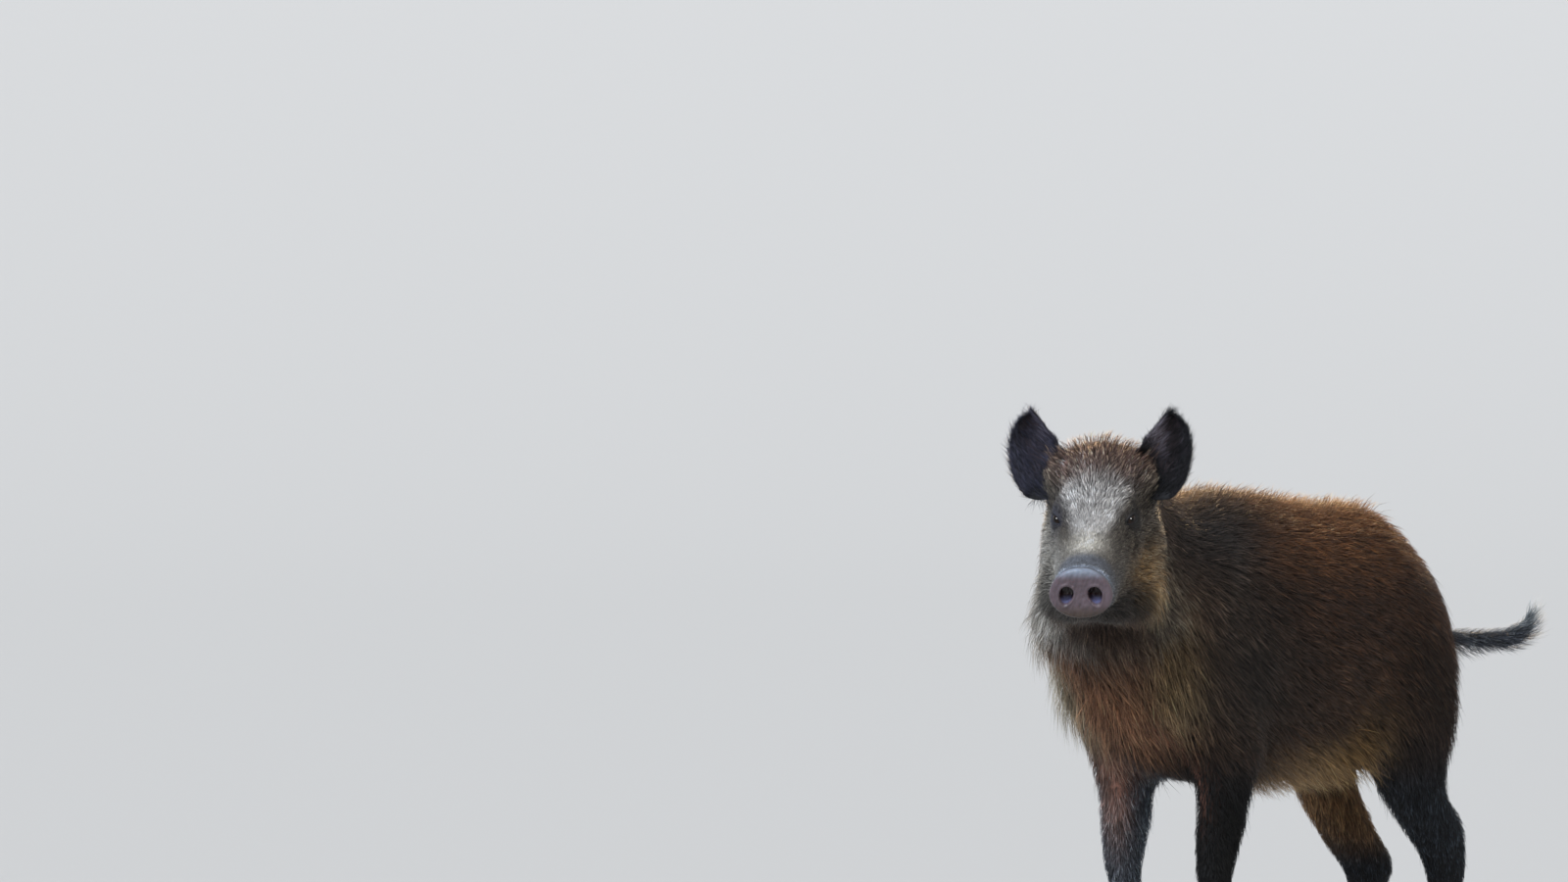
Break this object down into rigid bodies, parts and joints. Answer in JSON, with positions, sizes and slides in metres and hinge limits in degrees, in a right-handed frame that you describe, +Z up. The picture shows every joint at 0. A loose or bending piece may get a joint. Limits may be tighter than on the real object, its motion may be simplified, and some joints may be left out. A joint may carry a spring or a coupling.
{
  "type": "wild boar",
  "caption": "Still, life-size model of a young wild boar standing on its four feet, head turned to its left, ears up, tail held out with a curled tip.",
  "frame": {"origin": "middle of the whole model's box, on the floor", "axes": "+Z up, the animal faces -Y with its head turned towards +X, its own left side is +X; +Y runs from the snout to the tail"},
  "size_m": [0.3444, 1.2402, 0.754],
  "materials": {
    "coat": "coarse brown and ochre bristles with pale tips over dark underwool",
    "dark_coat": "short blue-black bristles of the legs and the tail",
    "ear_coat": "short dark hair over thin skin and gristle",
    "snout_skin": "bare, moist, finely grained skin of the snout disc",
    "horn": "dark hoof horn, worn dull",
    "eye_gloss": "wet, nearly black eye"
  },
  "bodies": {
    "root": {"head": "coat", "neck": "coat", "trunk": "coat", "tail": "dark_coat", "foreleg_left": "dark_coat", "foreleg_right": "dark_coat", "hindleg_left": "dark_coat", "hindleg_right": "dark_coat", "ear_left": "ear_coat", "ear_right": "ear_coat", "snout": "snout_skin", "hoof_foreleg_left_inner": "horn", "dewclaw_foreleg_left_inner": "horn", "hoof_foreleg_left_outer": "horn", "dewclaw_foreleg_left_outer": "horn", "hoof_foreleg_right_inner": "horn", "dewclaw_foreleg_right_inner": "horn", "hoof_foreleg_right_outer": "horn", "dewclaw_foreleg_right_outer": "horn", "hoof_hindleg_left_inner": "horn", "dewclaw_hindleg_left_inner": "horn", "hoof_hindleg_left_outer": "horn", "dewclaw_hindleg_left_outer": "horn", "hoof_hindleg_right_inner": "horn", "dewclaw_hindleg_right_inner": "horn", "hoof_hindleg_right_outer": "horn", "dewclaw_hindleg_right_outer": "horn", "eye_left": "eye_gloss", "eye_right": "eye_gloss"}
  },
  "joints": []
}
